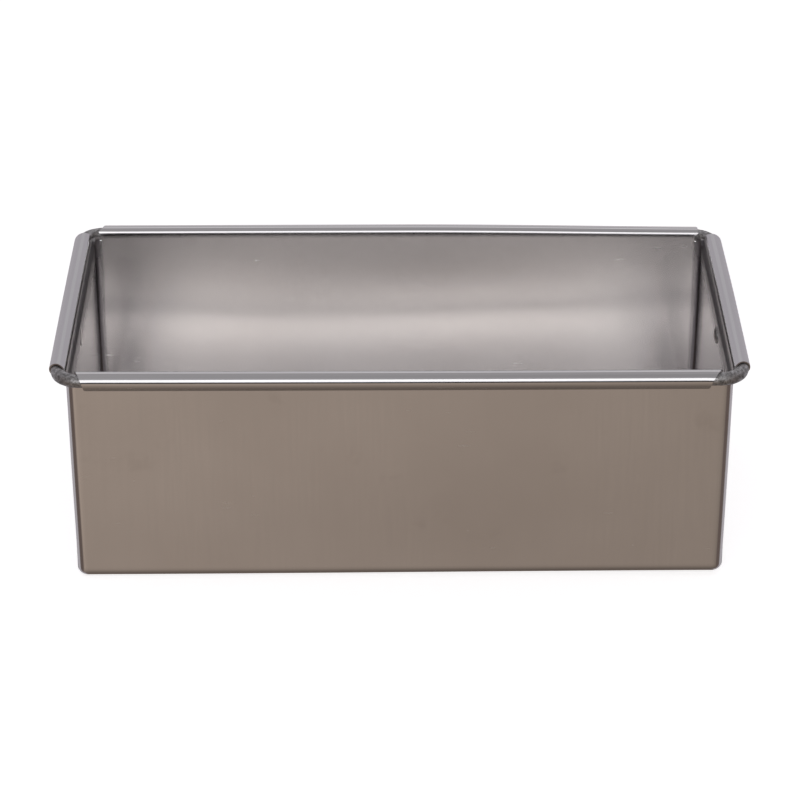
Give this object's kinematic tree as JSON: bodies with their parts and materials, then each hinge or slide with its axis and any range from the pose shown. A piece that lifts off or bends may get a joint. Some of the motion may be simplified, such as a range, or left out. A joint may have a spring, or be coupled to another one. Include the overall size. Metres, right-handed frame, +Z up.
{
  "type": "loaf pan",
  "caption": "Straight-sided rectangular loaf pan folded from thin sheet, with a wire-stiffened rolled rim, bare wire at the corners, and pleats riveted flat on its ends.",
  "frame": {"origin": "centre of the footprint, on the surface that the pan stands on", "axes": "+X along the pan's length, +Y across it towards the far long wall, +Z up out of the open mouth"},
  "size_m": [0.2434, 0.127, 0.084],
  "materials": {
    "pan_sheet": "satin",
    "rim_wire": "mottled zinc coating",
    "rivet": "satin"
  },
  "bodies": {
    "root": {"pan_body": "pan_sheet", "rim_wire": "rim_wire", "rivet_left": "rivet", "rivet_right": "rivet"}
  },
  "joints": []
}
